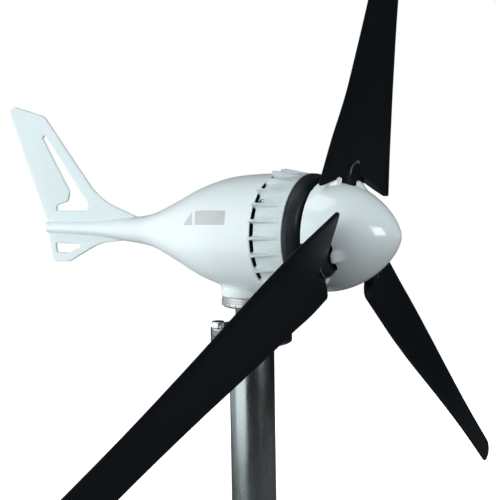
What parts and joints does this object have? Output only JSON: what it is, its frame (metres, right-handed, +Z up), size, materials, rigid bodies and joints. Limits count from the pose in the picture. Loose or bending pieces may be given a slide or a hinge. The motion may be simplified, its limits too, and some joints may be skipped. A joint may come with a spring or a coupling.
{
  "type": "horizontal axis wind turbine",
  "caption": "Small horizontal-axis wind turbine head with a bladed rotor, finned ring generator, teardrop nacelle and tail fin, swivelling on a flanged tubular mast.",
  "frame": {"origin": "centre of the mast tube's foot", "axes": "+Z up along the mast and the yaw axis; the nose points to -Y and the tail fin to +Y, with the head at its rest heading; +X to the right seen from the front"},
  "size_m": [1.0224, 0.6679, 1.338],
  "materials": {
    "white_paint": "gloss white paint, slightly blue",
    "cast_white": "satin white paint on a casting",
    "graphite_paint": "satin graphite paint",
    "black_plastic": "black moulded plastic, satin",
    "machined_aluminium": "machined",
    "steel": "satin",
    "copper": "copper, enamelled wire and rings",
    "laminated_steel": "laminated electrical steel",
    "magnet": "nickel-plated magnets",
    "carbon": "pressed carbon",
    "insulator": "phenolic insulator"
  },
  "bodies": {
    "mast": {"mast_tube": "steel", "mast_flange": "steel", "pivot_flange": "steel", "yaw_shaft": "steel", "flange_bolt_1": "steel", "flange_bolt_2": "steel", "flange_bolt_3": "steel", "flange_bolt_4": "steel", "yaw_lock_nut": "steel", "slip_ring_core": "insulator", "slip_ring_1": "copper", "slip_ring_2": "copper", "slip_ring_3": "copper", "lower_yaw_bearing_inner_race": "steel", "upper_yaw_bearing_inner_race": "steel"},
    "nacelle": {"nacelle_housing": "white_paint", "yaw_collar": "machined_aluminium", "lower_yaw_bearing_outer_race": "steel", "upper_yaw_bearing_outer_race": "steel", "tail_fin": "white_paint", "tail_screw_1": "steel", "tail_screw_2": "steel", "stator_housing": "cast_white", "stator_core": "laminated_steel", "stator_winding": "copper", "rear_bearing_plate": "cast_white", "front_cover": "graphite_paint", "cover_screw_1": "steel", "cover_screw_2": "steel", "cover_screw_3": "steel", "housing_screw_1": "steel", "housing_screw_2": "steel", "housing_screw_3": "steel", "brush_holder": "insulator", "brush_1": "carbon", "brush_2": "carbon", "brush_3": "carbon", "front_bearing_outer_race": "steel", "rear_bearing_outer_race": "steel"},
    "rotor": {"main_shaft": "steel", "hub_plate": "steel", "clamp_plate": "steel", "blade_1": "black_plastic", "blade_2": "black_plastic", "blade_3": "black_plastic", "blade_bolt_1": "steel", "blade_bolt_2": "steel", "blade_bolt_3": "steel", "blade_bolt_4": "steel", "blade_bolt_5": "steel", "blade_bolt_6": "steel", "spinner": "white_paint", "spinner_screw_1": "steel", "spinner_screw_2": "steel", "spinner_screw_3": "steel", "magnet_drum": "steel", "magnet_ring": "magnet", "shaft_nut": "steel", "front_bearing_inner_race": "steel", "rear_bearing_inner_race": "steel"}
  },
  "joints": [
    {"name": "yaw_swivel", "type": "hinge", "parent": "mast", "child": "nacelle", "pos_m": [0, 0, 0.75], "axis": [0, 0, 1], "continuous": true},
    {"name": "rotor_spin", "type": "hinge", "parent": "nacelle", "child": "rotor", "pos_m": [0, -0.151, 0.75], "axis": [0, 1, 0], "continuous": true}
  ]
}
